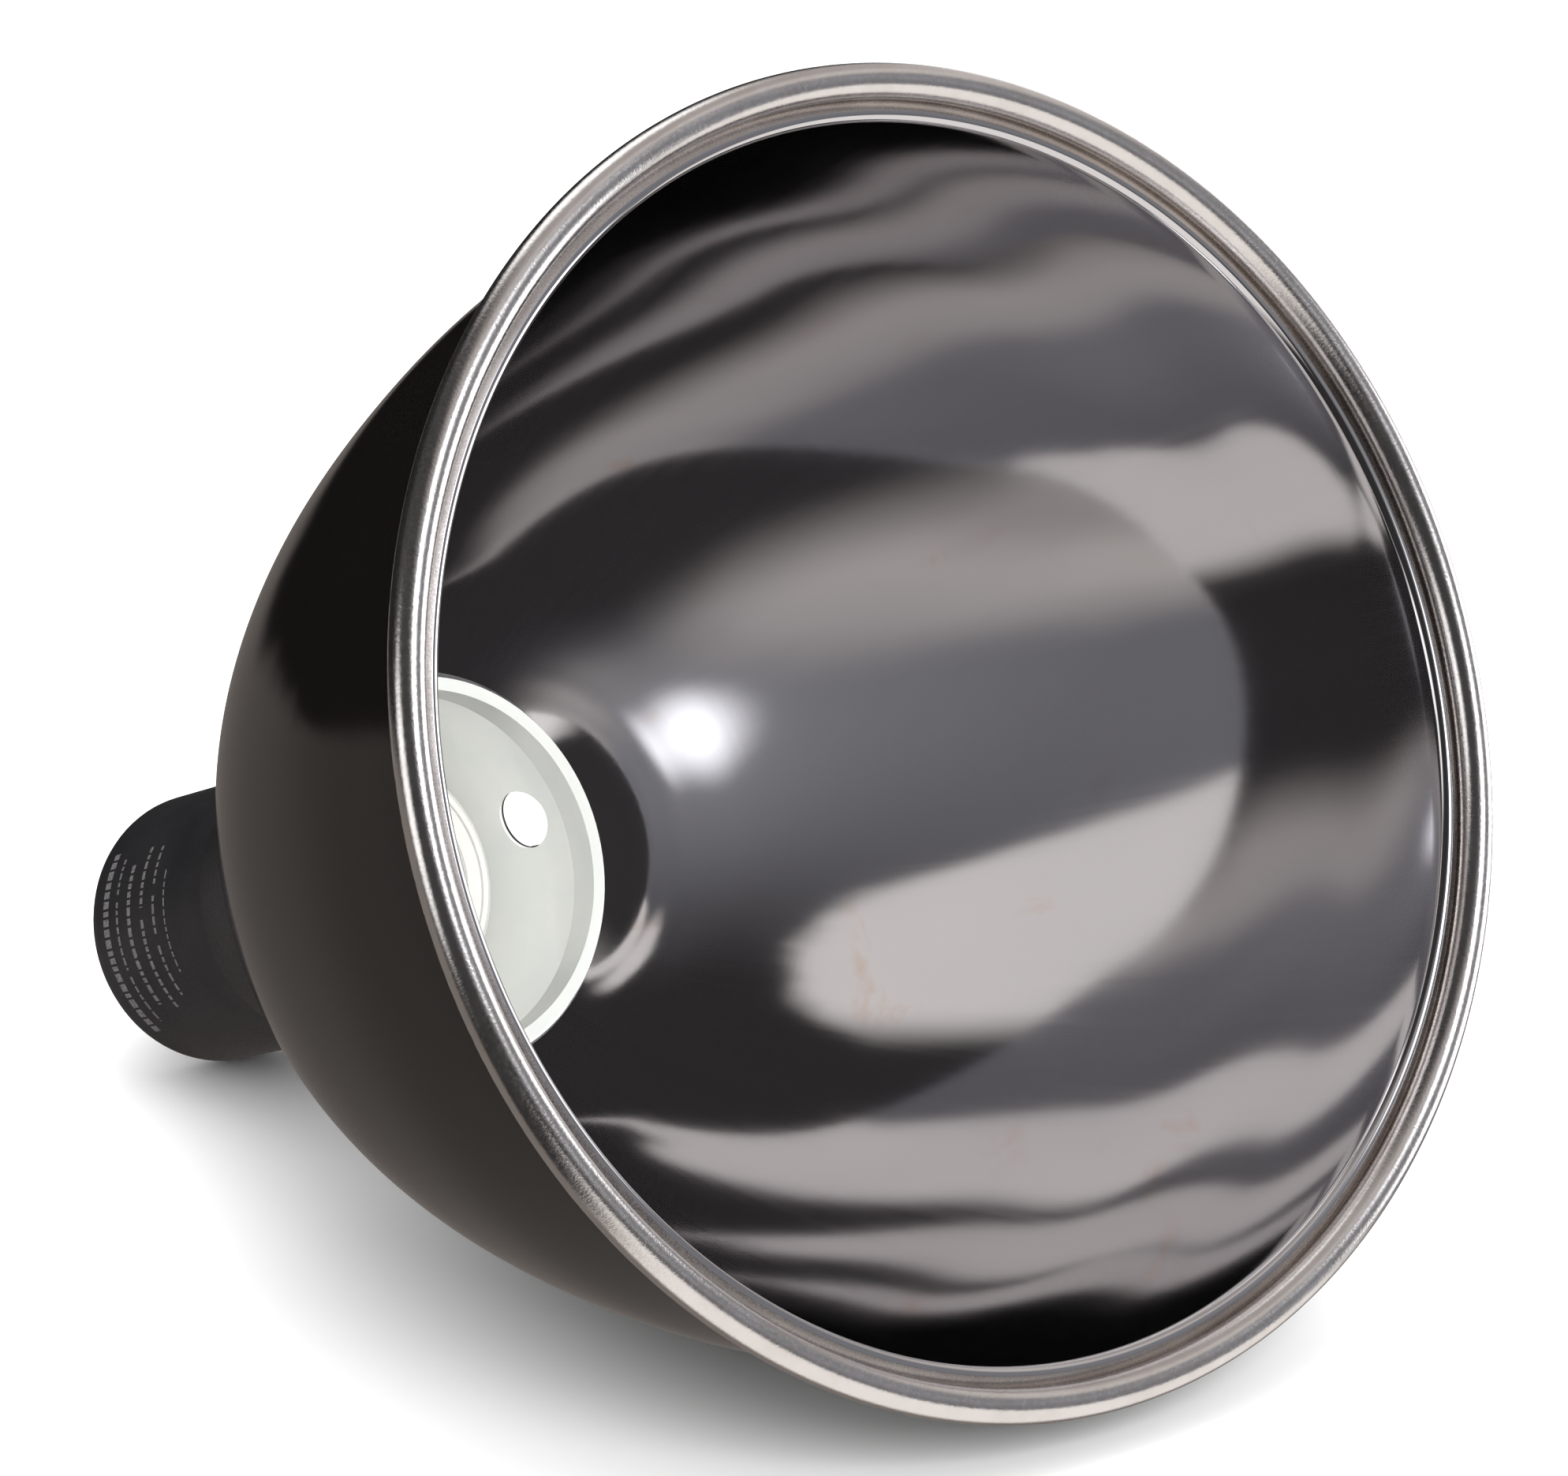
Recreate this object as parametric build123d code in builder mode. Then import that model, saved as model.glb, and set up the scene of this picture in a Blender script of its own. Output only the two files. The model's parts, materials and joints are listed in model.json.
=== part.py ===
"""Dome reflector clamp lamp: spun reflector, vented lampholder housing and a spring clamp.

The lamp lies on its side on z = 0. It rests on the side of its dome, on the rear edge of
the housing and on the clamp, so the lamp axis lies in the YZ plane, tilted by `tilt`.
Depth is measured along that axis, from the rim plane (0) towards the housing's closed end.
"""
import os
from math import cos, degrees, hypot, pi, radians, sin

from build123d import *

os.makedirs("parts", exist_ok=True)

# ---------------------------------------------------------------- driving dimensions (mm)
# reflector
rim_r = 107.5
bead_r = 2.9
wire_r = 1.9
sheet = 1.0
wall_top_r = 99.3
flange_depth = 4.2
neck_flat_depth = 158.4
dome_wall = [
    (98.9, 14.0), (97.3, 28.0), (93.9, 50.0), (88.8, 70.0), (82.2, 90.0),
    (73.4, 110.0), (64.8, 125.0), (54.6, 140.0), (47.4, 148.9), (41.6, 154.2),
]
neck_flat_r = 35.4

# lampholder housing
cap_r = 25.0
cap_depth = 240.0
cap_corner = 5.0
cap_wall = 1.2
neck_r = 33.2
neck_straight = 162.8
flare_end = 198.0
lip_r = 34.3
lip_sheet = 0.8
lip_depth = 156.5
vent_count = 4
vent_r = 5.4
vent_depth = 170.3
vent_angle = 11.0
neck_ring_r = 38.4
neck_ring_height = 2.5

# E27 lampholder
holder_ring_r = 23.4
holder_front = 176.0
holder_ring_back = 184.0
holder_r = 19.5
holder_back = 222.0
shell_r = 13.3
shell_sheet = 0.5
shell_front = 181.0
shell_back = 201.5
contact_r = 4.0
contact_stem_r = 1.8
contact_depth = 202.3
contact_floor = 206.5

# cable inlet
gland_r = 8.5
gland_end = 254.0
cable_r = 3.2

# tilt bracket, arm and swivel
pivot_depth = 214.0
pivot_x = 39.0
bolt_r = 2.5
ear_gap = 3.1
ear_sheet = 2.0
ear_half_width = 7.0
arm_sheet = 2.5
arm_flange_x = 54.0
washer_sheet = 0.4
swivel_r = 3.0

# spring clamp, lying on its side
clamp_height = 24.0
jaw_sheet = 1.5
jaw_plate_x = 57.0
hinge_offset = 17.0
hinge_r = 2.5
hinge_head_r = 4.2
hinge_head = 1.4
jaw_reach = 50.0
handle_reach = 50.0
pad_length = 19.0
running = 0.08

# ---------------------------------------------------------------- resting attitude
outer_wall = [(wall_top_r, flange_depth), *dome_wall, (neck_flat_r, neck_flat_depth)]
bead_centre_r = rim_r - bead_r
wall_curve = Spline(*outer_wall, tangents=((0, 1), (-1, 0)))
wall_samples = [wall_curve @ (step / 400) for step in range(401)]


def dome_drop(angle):
    """How far the dome's wall reaches below the rim's centre at a tilt."""
    return max(p.X * cos(angle) + p.Y * sin(angle) for p in wall_samples)


def cap_drop(angle):
    """How far the housing's rounded rear corner reaches below the rim's centre at a tilt."""
    along = (cap_depth - cap_corner) * sin(angle)
    return along + (cap_r - cap_corner) * cos(angle) + cap_corner


# the lamp rolls onto the tilt at which the wall and the rear corner reach equally low
level_tilt = 0.0
steep_tilt = pi / 4
for _ in range(50):
    tilt = (level_tilt + steep_tilt) / 2
    if cap_drop(tilt) < dome_drop(tilt):
        level_tilt = tilt
    else:
        steep_tilt = tilt
ct = cos(tilt)
st = sin(tilt)
rim_z = cap_drop(tilt)
front_reach = bead_centre_r * st + bead_r - bead_r * ct
swivel_up = (clamp_height / 2 - rim_z + pivot_depth * st) / ct
swivel_reach = pivot_depth * ct + swivel_up * st
rim_y = (front_reach - (swivel_reach + jaw_reach)) / 2

rim_centre = Vector(0, rim_y, rim_z)
depth_dir = Vector(0, ct, -st)
up_dir = Vector(0, st, ct)


def at(x, up, depth):
    """Point at x, `up` above the lamp axis, at a depth behind the rim plane."""
    return rim_centre + Vector(x, 0, 0) + up_dir * up + depth_dir * depth


# radius-depth plane, in which the turned pieces are drawn as (r, depth)
turning = Plane(origin=rim_centre, x_dir=(1, 0, 0), z_dir=up_dir)
lamp_axis = Axis(rim_centre, depth_dir)


def across(depth):
    """Plane square to the lamp axis: local x is +X, local y points down, away from up_dir."""
    return Plane(origin=at(0, 0, depth), x_dir=(1, 0, 0), z_dir=depth_dir)


def beside(x):
    """Plane square to X: local x is depth, local y is up from the lamp axis."""
    return Plane(origin=at(x, 0, 0), x_dir=depth_dir, z_dir=(1, 0, 0))


def above(up):
    """Plane square to up_dir: local x is +X, local y is depth."""
    return Plane(origin=at(0, up, 0), x_dir=(1, 0, 0), z_dir=up_dir)


def wall_radius(depth):
    """Outer radius of the housing's flare at a depth."""
    share = (depth - neck_straight) / (flare_end - neck_straight)
    return neck_r + (cap_r - neck_r) * share


def inset(points, amount):
    """Points moved square to the curve through them, towards the lamp axis."""
    moved = []
    for i, (r, depth) in enumerate(points):
        before = points[max(i - 1, 0)]
        after = points[min(i + 1, len(points) - 1)]
        run_r = after[0] - before[0]
        run_depth = after[1] - before[1]
        share = amount / hypot(run_r, run_depth)
        moved.append((r - share * run_depth, depth + share * run_r))
    return moved


def save(builder, name):
    builder.part.label = name
    export_step(builder.part, f"parts/{name}.step")


# ---------------------------------------------------------------- reflector
flange_r = bead_centre_r - 1.2
inner_wall = inset(outer_wall, sheet)
inner_wall[0] = (wall_top_r - sheet, flange_depth)
inner_wall[-1] = (neck_flat_r, neck_flat_depth - sheet)
with BuildPart() as dome:
    with BuildSketch(turning):
        with BuildLine():
            Spline(*outer_wall, tangents=((0, 1), (-1, 0)))
            Spline(*inner_wall, tangents=((0, 1), (-1, 0)))
            Line(outer_wall[0], inner_wall[0])
            Line(outer_wall[-1], inner_wall[-1])
        make_face()
        # flat seat round the neck hole
        with Locations(((neck_flat_r + neck_r + 0.1) / 2, neck_flat_depth - sheet / 2)):
            Rectangle(neck_flat_r - neck_r - 0.1, sheet)
        # flat flange, then the sheet rolled round the rim wire
        with Locations(((wall_top_r - sheet + flange_r) / 2, flange_depth - sheet / 2)):
            Rectangle(flange_r - wall_top_r + sheet, sheet)
        with Locations((bead_centre_r, bead_r)):
            Circle(bead_r)
            Circle(wire_r + 0.05, mode=Mode.SUBTRACT)
        # the rolled edge stops short of the flange
        with Locations((bead_centre_r - 1.6, bead_r + 2.1)):
            Rectangle(1.4, 1.0, mode=Mode.SUBTRACT)
    revolve(axis=lamp_axis)
save(dome, "reflector_dome")

with BuildPart() as rim_wire:
    with BuildSketch(turning):
        with Locations((bead_centre_r, bead_r)):
            Circle(wire_r)
    revolve(axis=lamp_axis)
save(rim_wire, "rim_wire")

with BuildPart() as neck_ring:
    with BuildSketch(turning):
        with BuildLine():
            Polyline(
                (neck_r + 0.1, neck_flat_depth),
                (neck_ring_r, neck_flat_depth),
                (neck_ring_r, neck_flat_depth + neck_ring_height),
                (neck_r + 0.1, neck_flat_depth + neck_ring_height),
                close=True,
            )
        make_face()
    revolve(axis=lamp_axis)
    # gripping notches for the assembly wrench
    with BuildSketch(across(neck_flat_depth)):
        with PolarLocations(neck_ring_r, 8):
            Rectangle(1.8, 4.0)
    extrude(amount=neck_ring_height, mode=Mode.SUBTRACT)
save(neck_ring, "neck_ring")

# ---------------------------------------------------------------- housing
inner_corner = cap_corner - cap_wall
with BuildPart() as housing:
    with BuildSketch(turning):
        with BuildLine():
            Polyline(
                (0, cap_depth),
                (cap_r, cap_depth),
                (cap_r, flare_end),
                (neck_r, neck_straight),
                (neck_r, lip_depth + lip_sheet),
                (lip_r, lip_depth + lip_sheet),
                (lip_r, lip_depth),
                (neck_r - cap_wall, lip_depth),
                (neck_r - cap_wall, neck_straight),
                (cap_r - cap_wall, flare_end),
                (cap_r - cap_wall, cap_depth - cap_wall),
                (0, cap_depth - cap_wall),
                close=True,
            )
        profile = make_face()
        corners = profile.vertices()
        fillet(corners.sort_by_distance((cap_r, cap_depth))[0], cap_corner)
        fillet(vertices().sort_by_distance((cap_r - cap_wall, cap_depth - cap_wall))[0], inner_corner)
    revolve(axis=lamp_axis)
    # vents through the flare
    for turn in range(vent_count):
        angle = radians(vent_angle + 360 / vent_count * turn)
        outward = Vector(cos(angle), 0, 0) + up_dir * sin(angle)
        centre = at(0, 0, vent_depth) + outward * (wall_radius(vent_depth) - 6)
        slope = (neck_r - cap_r) / (flare_end - neck_straight)
        normal = (outward + depth_dir * slope).normalized()
        with BuildSketch(Plane(origin=centre, z_dir=normal)):
            Circle(vent_r)
        extrude(amount=14, mode=Mode.SUBTRACT)
    # cable inlet and strap rivets in the end wall, bracket rivets in the side wall
    with BuildSketch(across(cap_depth - cap_wall)):
        Circle(6.5)
        with Locations((-13, 0), (13, 0)):
            Circle(1.5)
    extrude(amount=cap_wall, mode=Mode.SUBTRACT)
    with BuildSketch(beside(cap_r - 4)):
        with Locations((pivot_depth - 10.5, 0), (pivot_depth + 10.5, 0)):
            Circle(1.6)
    extrude(amount=6, mode=Mode.SUBTRACT)
save(housing, "socket_housing")

# ---------------------------------------------------------------- lampholder
with BuildPart() as holder:
    with BuildSketch(turning):
        with BuildLine():
            Polyline(
                (shell_r + 1.3, holder_front + 1.2),
                (18.0, holder_front + 1.2),
                (18.0, holder_front),
                (20.4, holder_front),
                (20.4, holder_front + 0.7),
                (21.2, holder_front + 0.7),
                (21.2, holder_front),
                (22.2, holder_front),
                (holder_ring_r, holder_front + 1.2),
                (holder_ring_r, holder_ring_back),
                (holder_r, holder_ring_back + 2),
                (holder_r, holder_back),
                (contact_stem_r + 0.1, holder_back),
                (contact_stem_r + 0.1, contact_floor),
                (contact_r + 2.5, contact_floor),
                (contact_r + 2.5, shell_back),
                (shell_r + 0.6, shell_back),
                (shell_r + 0.6, shell_front - 1),
                (shell_r + 1.3, shell_front - 1.7),
                close=True,
            )
        make_face()
    revolve(axis=lamp_axis)
    with BuildSketch(across(holder_back - 5)):
        with Locations((-12, 0), (12, 0), (0, -9), (0, 9)):
            Circle(1.5)
    extrude(amount=5, mode=Mode.SUBTRACT)
save(holder, "ceramic_holder")

with BuildPart() as screw_shell:
    with BuildSketch(turning):
        with BuildLine():
            Polyline(
                (shell_r, shell_front),
                (shell_r + shell_sheet, shell_front),
                (shell_r + shell_sheet, shell_back),
                (7.5, shell_back),
                (7.5, shell_back - shell_sheet),
                (shell_r, shell_back - shell_sheet),
                close=True,
            )
        make_face()
    revolve(axis=lamp_axis)
save(screw_shell, "screw_shell")

with BuildPart() as centre_contact:
    with BuildSketch(turning):
        with BuildLine():
            Polyline(
                (0, contact_depth),
                (contact_r - 1, contact_depth),
                (contact_r, contact_depth + 0.6),
                (contact_r, contact_depth + 1.4),
                (contact_stem_r, contact_depth + 1.4),
                (contact_stem_r, contact_depth + 17),
                (0, contact_depth + 17),
                close=True,
            )
        make_face()
    revolve(axis=lamp_axis)
save(centre_contact, "centre_contact")

with BuildPart() as terminals:
    with BuildSketch(across(holder_back)):
        with Locations((0, -9), (0, 9)):
            RectangleRounded(9, 7, 1)
    extrude(amount=6)
    # wire holes, then the clamping screw holes
    with BuildSketch(beside(-6)):
        with Locations((holder_back + 3, -9), (holder_back + 3, 9)):
            Circle(1.3)
    extrude(amount=12, mode=Mode.SUBTRACT)
    with BuildSketch(across(holder_back)):
        with Locations((0, -9), (0, 9)):
            Circle(1.5)
    extrude(amount=6, mode=Mode.SUBTRACT)
save(terminals, "terminals")

with BuildPart() as terminal_screws:
    with BuildSketch(across(holder_back + 4.4)):
        with Locations((0, -9), (0, 9)):
            Circle(1.5)
    extrude(amount=1.6)
    with BuildSketch(across(holder_back + 6)):
        with Locations((0, -9), (0, 9)):
            Circle(2.4)
    extrude(amount=1.4)
    with BuildSketch(across(holder_back + 6.8)):
        with Locations((0, -9), (0, 9)):
            Rectangle(6, 0.7)
    extrude(amount=0.6, mode=Mode.SUBTRACT)
save(terminal_screws, "terminal_screws")

strap_base = cap_depth - cap_wall - 1.2
with BuildPart() as strap:
    with BuildSketch(across(strap_base)):
        RectangleRounded(34, 22, 3)
    extrude(amount=1.2)
    with BuildSketch(across(holder_back)):
        with Locations((-16.2, 0), (16.2, 0)):
            Rectangle(1.2, 10)
    extrude(amount=strap_base - holder_back)
    with BuildSketch(across(holder_back)):
        with Locations((-12.3, 0), (12.3, 0)):
            Rectangle(9, 10)
    extrude(amount=1.2)
    with BuildSketch(across(holder_back)):
        with Locations((-12, 0), (12, 0)):
            Circle(1.6)
    extrude(amount=1.2, mode=Mode.SUBTRACT)
    with BuildSketch(across(strap_base)):
        Circle(9)
        with Locations((-13, 0), (13, 0)):
            Circle(1.5)
    extrude(amount=1.2, mode=Mode.SUBTRACT)
save(strap, "holder_strap")

with BuildPart() as holder_screws:
    with BuildSketch(across(holder_back - 4.5)):
        with Locations((-12, 0), (12, 0)):
            Circle(1.5)
    extrude(amount=5.7)
    with BuildSketch(across(holder_back + 1.2)):
        with Locations((-12, 0), (12, 0)):
            Circle(2.8)
    extrude(amount=1.6)
    with BuildSketch(across(holder_back + 2.2)):
        with Locations((-12, 0), (12, 0)):
            Rectangle(0.8, 7)
    extrude(amount=0.6, mode=Mode.SUBTRACT)
save(holder_screws, "holder_screws")

with BuildPart() as strap_rivets:
    with BuildSketch(across(strap_base)):
        with Locations((-13, 0), (13, 0)):
            Circle(1.5)
    extrude(amount=2.4)
    with BuildSketch(across(strap_base - 0.9)):
        with Locations((-13, 0), (13, 0)):
            Circle(2.3)
    extrude(amount=0.9)
    with BuildSketch(across(cap_depth)):
        with Locations((-13, 0), (13, 0)):
            Circle(2.6)
    extrude(amount=0.9, taper=25)
save(strap_rivets, "strap_rivets")

# ---------------------------------------------------------------- cable inlet and cord grip
with BuildPart() as gland:
    with BuildSketch(turning):
        with BuildLine():
            Polyline(
                (cable_r, cap_depth - 3.4),
                (8.0, cap_depth - 3.4),
                (8.0, cap_depth - cap_wall),
                (6.5, cap_depth - cap_wall),
                (6.5, cap_depth),
                (gland_r, cap_depth),
                (gland_r, cap_depth + 2.2),
                (6.6, cap_depth + 3.2),
                (5.2, gland_end - 0.8),
                (4.6, gland_end),
                (cable_r, gland_end),
                close=True,
            )
        make_face()
    revolve(axis=lamp_axis)
    # flex slots in the nose
    for step in range(3):
        with BuildSketch(across(cap_depth + 5 + 3 * step)):
            Circle(7.5)
            Circle(4.4, mode=Mode.SUBTRACT)
            Rectangle(20, 3, rotation=90 * step, mode=Mode.SUBTRACT)
        extrude(amount=1.3, mode=Mode.SUBTRACT)
save(gland, "cable_gland")

grip_front = 229.8
with BuildPart() as cord_grip:
    with BuildSketch(across(grip_front)):
        RectangleRounded(22, 9, 1.5)
        Circle(cable_r, mode=Mode.SUBTRACT)
        Rectangle(24, 1.2, mode=Mode.SUBTRACT)
    extrude(amount=6)
    with BuildSketch(above(-5)):
        with Locations((-7.4, grip_front + 3), (7.4, grip_front + 3)):
            Circle(1.3)
    extrude(amount=10, mode=Mode.SUBTRACT)
save(cord_grip, "cord_grip")

with BuildPart() as cord_grip_screws:
    with BuildSketch(above(-4)):
        with Locations((-7.4, grip_front + 3), (7.4, grip_front + 3)):
            Circle(1.3)
    extrude(amount=8.5)
    with BuildSketch(above(4.5)):
        with Locations((-7.4, grip_front + 3), (7.4, grip_front + 3)):
            Circle(2.3)
    extrude(amount=1.4)
    with BuildSketch(above(5.3)):
        with Locations((-7.4, grip_front + 3), (7.4, grip_front + 3)):
            Rectangle(6, 0.7)
    extrude(amount=0.6, mode=Mode.SUBTRACT)
save(cord_grip_screws, "cord_grip_screws")

# ---------------------------------------------------------------- tilt bracket and bolt
ear_top = ear_gap / 2 + ear_sheet
saddle_x = cap_r + 2.4
with BuildPart() as bracket:
    # curved saddle, cut to the housing's side
    with BuildSketch(beside(cap_r - 3)):
        with Locations((pivot_depth, 0)):
            RectangleRounded(28, 2 * ear_half_width, 3)
    extrude(amount=saddle_x - cap_r + 3)
    with BuildSketch(across(pivot_depth - 20)):
        Circle(cap_r + 0.02)
    extrude(amount=40, mode=Mode.SUBTRACT)
    # two ears with rounded ends
    for low in (-ear_top, ear_gap / 2):
        with BuildSketch(above(low)):
            with Locations(((saddle_x - 1 + pivot_x) / 2, pivot_depth)):
                Rectangle(pivot_x - saddle_x + 1, 2 * ear_half_width)
            with Locations((pivot_x, pivot_depth)):
                Circle(ear_half_width)
                Circle(bolt_r + 0.02, mode=Mode.SUBTRACT)
        extrude(amount=ear_sheet)
    with BuildSketch(beside(cap_r - 4)):
        with Locations((pivot_depth - 10.5, 0), (pivot_depth + 10.5, 0)):
            Circle(1.6)
    extrude(amount=8, mode=Mode.SUBTRACT)
save(bracket, "tilt_bracket")

with BuildPart() as bracket_rivets:
    with BuildSketch(beside(cap_r - cap_wall - 1.2)):
        with Locations((pivot_depth - 10.5, 0), (pivot_depth + 10.5, 0)):
            Circle(1.6)
    extrude(amount=saddle_x + 0.1 - cap_r + cap_wall + 1.2)
    with BuildSketch(beside(cap_r - cap_wall - 1.2)):
        with Locations((pivot_depth - 10.5, 0), (pivot_depth + 10.5, 0)):
            Circle(2.6)
    extrude(amount=1.0)
    with BuildSketch(beside(saddle_x)):
        with Locations((pivot_depth - 10.5, 0), (pivot_depth + 10.5, 0)):
            Circle(3.0)
    extrude(amount=1.2, taper=25)
save(bracket_rivets, "bracket_rivets")

pivot_spot = (pivot_x, pivot_depth)
with BuildPart() as tilt_bolt:
    with BuildSketch(above(-17)):
        with Locations(pivot_spot):
            Circle(bolt_r)
    extrude(amount=17 + ear_top + 1)
    with BuildSketch(above(ear_top + 1)):
        with Locations(pivot_spot):
            RegularPolygon(radius=4.6, side_count=6)
    extrude(amount=3.4)
save(tilt_bolt, "tilt_bolt")

with BuildPart() as tilt_washers:
    for low in (ear_top, -ear_top - 1):
        with BuildSketch(above(low)):
            with Locations(pivot_spot):
                Circle(5.2)
                Circle(bolt_r + 0.02, mode=Mode.SUBTRACT)
        extrude(amount=1)
save(tilt_washers, "tilt_washers")

nut_top = -ear_top - 1.1
with BuildPart() as wing_nut:
    with BuildSketch(above(nut_top)):
        with Locations(pivot_spot):
            Circle(4.8)
    extrude(amount=-5.5, taper=6)
    with BuildSketch(Plane(origin=at(pivot_x, 0, pivot_depth - 1.1), x_dir=(1, 0, 0), z_dir=depth_dir)):
        for side in (-1, 1):
            with BuildLine():
                Polyline(
                    (side * 3.0, -nut_top + 0.6),
                    (side * 6.5, -nut_top + 2.2),
                    (side * 10.4, -nut_top + 7.4),
                    (side * 9.2, -nut_top + 10.4),
                    (side * 6.4, -nut_top + 10.4),
                    (side * 3.0, -nut_top + 5.2),
                    close=True,
                )
            make_face()
    extrude(amount=2.2)
    with BuildSketch(above(nut_top)):
        with Locations(pivot_spot):
            Circle(bolt_r + running)
    extrude(amount=-12, mode=Mode.SUBTRACT)
save(wing_nut, "wing_nut")

# ---------------------------------------------------------------- cranked arm and swivel
arm_back_x = arm_flange_x + arm_sheet
with BuildPart() as arm:
    with BuildSketch(above(-arm_sheet / 2)):
        with Locations(((pivot_x + arm_back_x) / 2, pivot_depth)):
            Rectangle(arm_back_x - pivot_x, 2 * ear_half_width)
        with Locations(pivot_spot):
            Circle(ear_half_width)
            Circle(bolt_r + running, mode=Mode.SUBTRACT)
    extrude(amount=arm_sheet)
    with BuildSketch(beside(arm_flange_x)):
        with Locations((pivot_depth, (swivel_up + arm_sheet / 2) / 2)):
            Rectangle(2 * ear_half_width, arm_sheet / 2 - swivel_up)
        with Locations((pivot_depth, swivel_up)):
            Circle(ear_half_width)
            Circle(swivel_r + 0.02, mode=Mode.SUBTRACT)
    extrude(amount=arm_sheet)
save(arm, "swivel_arm")

swivel_spot = (pivot_depth, swivel_up)
with BuildPart() as swivel_washer:
    with BuildSketch(beside(arm_back_x)):
        with Locations(swivel_spot):
            Circle(6.4)
            Circle(swivel_r + 0.02, mode=Mode.SUBTRACT)
    extrude(amount=washer_sheet)
save(swivel_washer, "swivel_washer")

with BuildPart() as swivel_rivet:
    with BuildSketch(beside(arm_flange_x)):
        with Locations(swivel_spot):
            Circle(swivel_r)
    extrude(amount=jaw_plate_x + jaw_sheet + 0.4 - arm_flange_x)
    with BuildSketch(beside(jaw_plate_x + jaw_sheet + 0.4)):
        with Locations(swivel_spot):
            Circle(5.4)
    extrude(amount=1.6, taper=20)
    with BuildSketch(beside(arm_flange_x)):
        with Locations(swivel_spot):
            Circle(5.0)
    extrude(amount=-1.4, taper=20)
save(swivel_rivet, "swivel_rivet")

# ---------------------------------------------------------------- spring clamp
hinge_x = jaw_plate_x + hinge_offset
swivel_point = at(0, swivel_up, pivot_depth)
hinge_y = swivel_point.Y
ear_end = 6.5
ear_a_low = hinge_head + 0.1
jaw_b_low = ear_a_low + jaw_sheet + 0.4
pad_face = 0.4
tip_plate = 6.5
b_handle_x = 16.2


def level(z):
    return Plane.XY.offset(z)


def clamp_xy(across_x, along_y):
    """Clamp outline point: across_x from the hinge line, along_y from the hinge."""
    return (hinge_x + across_x, hinge_y + along_y)


path_a = [
    clamp_xy(-hinge_offset + jaw_sheet / 2, -handle_reach),
    clamp_xy(-hinge_offset + jaw_sheet / 2, 13),
    clamp_xy(-tip_plate - jaw_sheet / 2, 31),
    clamp_xy(-tip_plate - jaw_sheet / 2, jaw_reach),
]
path_b = [
    clamp_xy(25.0, -handle_reach + 1),
    clamp_xy(b_handle_x, -12),
    clamp_xy(b_handle_x, 13),
    clamp_xy(tip_plate + jaw_sheet / 2, 31),
    clamp_xy(tip_plate + jaw_sheet / 2, jaw_reach),
]

with BuildPart() as jaw_a:
    with BuildSketch(level(ear_a_low)):
        with BuildLine():
            spine = Polyline(*path_a)
        trace(lines=spine, line_width=jaw_sheet)
    extrude(amount=clamp_height - 2 * ear_a_low)
    for low in (ear_a_low, clamp_height - ear_a_low - jaw_sheet):
        with BuildSketch(level(low)):
            with BuildLine():
                Polyline(
                    clamp_xy(-hinge_offset + 0.7, -13),
                    clamp_xy(0, -ear_end),
                    clamp_xy(0, ear_end),
                    clamp_xy(-hinge_offset + 0.7, 12),
                    close=True,
                )
            make_face()
            with Locations(clamp_xy(0, 0)):
                Circle(ear_end)
                Circle(hinge_r + 0.02, mode=Mode.SUBTRACT)
        extrude(amount=jaw_sheet)
    with BuildSketch(beside(jaw_plate_x - 1)):
        with Locations(swivel_spot):
            Circle(swivel_r + running)
    extrude(amount=jaw_sheet + 2, mode=Mode.SUBTRACT)
save(jaw_a, "jaw_fixed")

with BuildPart() as jaw_b:
    with BuildSketch(level(jaw_b_low)):
        with BuildLine():
            spine = Polyline(*path_b)
        trace(lines=spine, line_width=jaw_sheet)
    extrude(amount=clamp_height - 2 * jaw_b_low)
    for low in (jaw_b_low, clamp_height - jaw_b_low - jaw_sheet):
        with BuildSketch(level(low)):
            with BuildLine():
                Polyline(
                    clamp_xy(b_handle_x, -12),
                    clamp_xy(0, -ear_end + 0.5),
                    clamp_xy(0, ear_end - 0.5),
                    clamp_xy(b_handle_x, 12),
                    close=True,
                )
            make_face()
            with Locations(clamp_xy(0, 0)):
                Circle(ear_end - 0.5)
                Circle(hinge_r + running, mode=Mode.SUBTRACT)
        extrude(amount=jaw_sheet)
save(jaw_b, "jaw_moving")

with BuildPart() as hinge_pin:
    with BuildSketch(level(0)):
        with Locations(clamp_xy(0, 0)):
            Circle(hinge_head_r)
    extrude(amount=hinge_head)
    with BuildSketch(level(clamp_height - hinge_head)):
        with Locations(clamp_xy(0, 0)):
            Circle(hinge_head_r)
    extrude(amount=hinge_head)
    with BuildSketch(level(0)):
        with Locations(clamp_xy(0, 0)):
            Circle(hinge_r)
    extrude(amount=clamp_height)
save(hinge_pin, "hinge_pin")

coil_r = 4.2
coil_wire = 0.7
coil_low = 6.8
coil_pitch = 1.6
coil_turns = 6
hinge_low = (*clamp_xy(0, 0), coil_low)
with BuildPart() as spring:
    with BuildLine():
        coil = Helix(coil_pitch, coil_pitch * coil_turns, coil_r, center=hinge_low)
    with BuildSketch(Plane(origin=coil @ 0, z_dir=coil % 0)):
        Circle(coil_wire)
    sweep(path=coil)
    # leg along the fixed handle, a hair thicker than the coil so that the two join cleanly
    leg_bend = Vector(*clamp_xy(coil_r, -6.5), coil_low - 0.9)
    leg_end = Vector(*clamp_xy(-hinge_offset + jaw_sheet + coil_wire + 0.2, -20), coil_low - 0.9)
    with BuildLine():
        leg = Polyline(coil @ 0, leg_bend, leg_end)
    with BuildSketch(Plane(origin=leg @ 0, z_dir=leg % 0)):
        Circle(coil_wire + 0.05)
    sweep(path=leg, transition=Transition.ROUND)
save(spring, "torsion_spring")

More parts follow.
